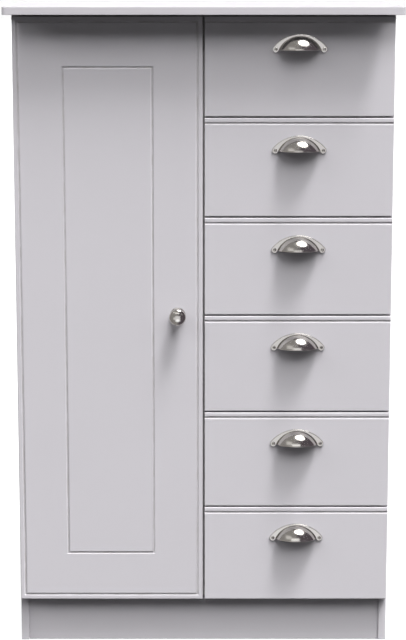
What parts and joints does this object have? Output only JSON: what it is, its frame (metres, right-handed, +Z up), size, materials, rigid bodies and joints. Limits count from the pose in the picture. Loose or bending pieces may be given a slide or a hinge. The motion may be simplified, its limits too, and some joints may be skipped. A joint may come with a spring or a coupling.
{
  "type": "chifforobe",
  "caption": "Free-standing chifforobe with one full-height hinged door over a hanging bay, beside a column of sliding drawers with half-moon cup handles.",
  "frame": {"origin": "middle of the bounding box at floor level", "axes": "+X to the right of someone facing the fronts, +Y towards the back, +Z up"},
  "size_m": [0.765, 0.545, 1.262],
  "materials": {
    "case_foil": "satin light grey foil on chipboard",
    "front_foil": "satin light grey foil on routed fibreboard",
    "inside_foil": "matt off-white foil on chipboard",
    "hardboard": "painted hardboard",
    "runner_plastic": "off-white moulded plastic",
    "satin_nickel": "satin nickel plate on zinc alloy",
    "hinge_steel": "plated pressed steel",
    "rail_chrome": "polished chrome plate"
  },
  "bodies": {
    "carcass": {"top_panel": "case_foil", "side_panel_left": "case_foil", "side_panel_right": "case_foil", "centre_partition": "inside_foil", "base_panel": "inside_foil", "plinth_front": "case_foil", "plinth_rear": "inside_foil", "back_panel": "hardboard", "hat_shelf": "inside_foil", "hanging_rail": "rail_chrome", "rail_socket_left": "rail_chrome", "rail_socket_right": "rail_chrome", "hinge_arm_top": "hinge_steel", "hinge_arm_middle": "hinge_steel", "hinge_arm_bottom": "hinge_steel", "runner_left_1": "runner_plastic", "runner_right_1": "runner_plastic", "runner_left_2": "runner_plastic", "runner_right_2": "runner_plastic", "runner_left_3": "runner_plastic", "runner_right_3": "runner_plastic", "runner_left_4": "runner_plastic", "runner_right_4": "runner_plastic", "runner_left_5": "runner_plastic", "runner_right_5": "runner_plastic", "runner_left_6": "runner_plastic", "runner_right_6": "runner_plastic"},
    "door": {"door_panel": "front_foil", "door_knob": "satin_nickel", "hinge_cup_top": "hinge_steel", "hinge_cup_middle": "hinge_steel", "hinge_cup_bottom": "hinge_steel"},
    "drawer_1": {"drawer_front_1": "front_foil", "drawer_box_1": "inside_foil", "drawer_base_1": "hardboard", "cup_handle_1": "satin_nickel"},
    "drawer_2": {"drawer_front_2": "front_foil", "drawer_box_2": "inside_foil", "drawer_base_2": "hardboard", "cup_handle_2": "satin_nickel"},
    "drawer_3": {"drawer_front_3": "front_foil", "drawer_box_3": "inside_foil", "drawer_base_3": "hardboard", "cup_handle_3": "satin_nickel"},
    "drawer_4": {"drawer_front_4": "front_foil", "drawer_box_4": "inside_foil", "drawer_base_4": "hardboard", "cup_handle_4": "satin_nickel"},
    "drawer_5": {"drawer_front_5": "front_foil", "drawer_box_5": "inside_foil", "drawer_base_5": "hardboard", "cup_handle_5": "satin_nickel"},
    "drawer_6": {"drawer_front_6": "front_foil", "drawer_box_6": "inside_foil", "drawer_base_6": "hardboard", "cup_handle_6": "satin_nickel"}
  },
  "joints": [
    {"name": "door_hinge", "type": "hinge", "parent": "carcass", "child": "door", "pos_m": [-0.362, -0.2355, 0.668], "axis": [0, 0, -1], "range_deg": [0, 110]},
    {"name": "drawer_slide_1", "type": "slide", "parent": "carcass", "child": "drawer_1", "axis": [0, -1, 0], "range_m": [0, 0.3]},
    {"name": "drawer_slide_2", "type": "slide", "parent": "carcass", "child": "drawer_2", "axis": [0, -1, 0], "range_m": [0, 0.3]},
    {"name": "drawer_slide_3", "type": "slide", "parent": "carcass", "child": "drawer_3", "axis": [0, -1, 0], "range_m": [0, 0.3]},
    {"name": "drawer_slide_4", "type": "slide", "parent": "carcass", "child": "drawer_4", "axis": [0, -1, 0], "range_m": [0, 0.3]},
    {"name": "drawer_slide_5", "type": "slide", "parent": "carcass", "child": "drawer_5", "axis": [0, -1, 0], "range_m": [0, 0.3]},
    {"name": "drawer_slide_6", "type": "slide", "parent": "carcass", "child": "drawer_6", "axis": [0, -1, 0], "range_m": [0, 0.3]}
  ]
}
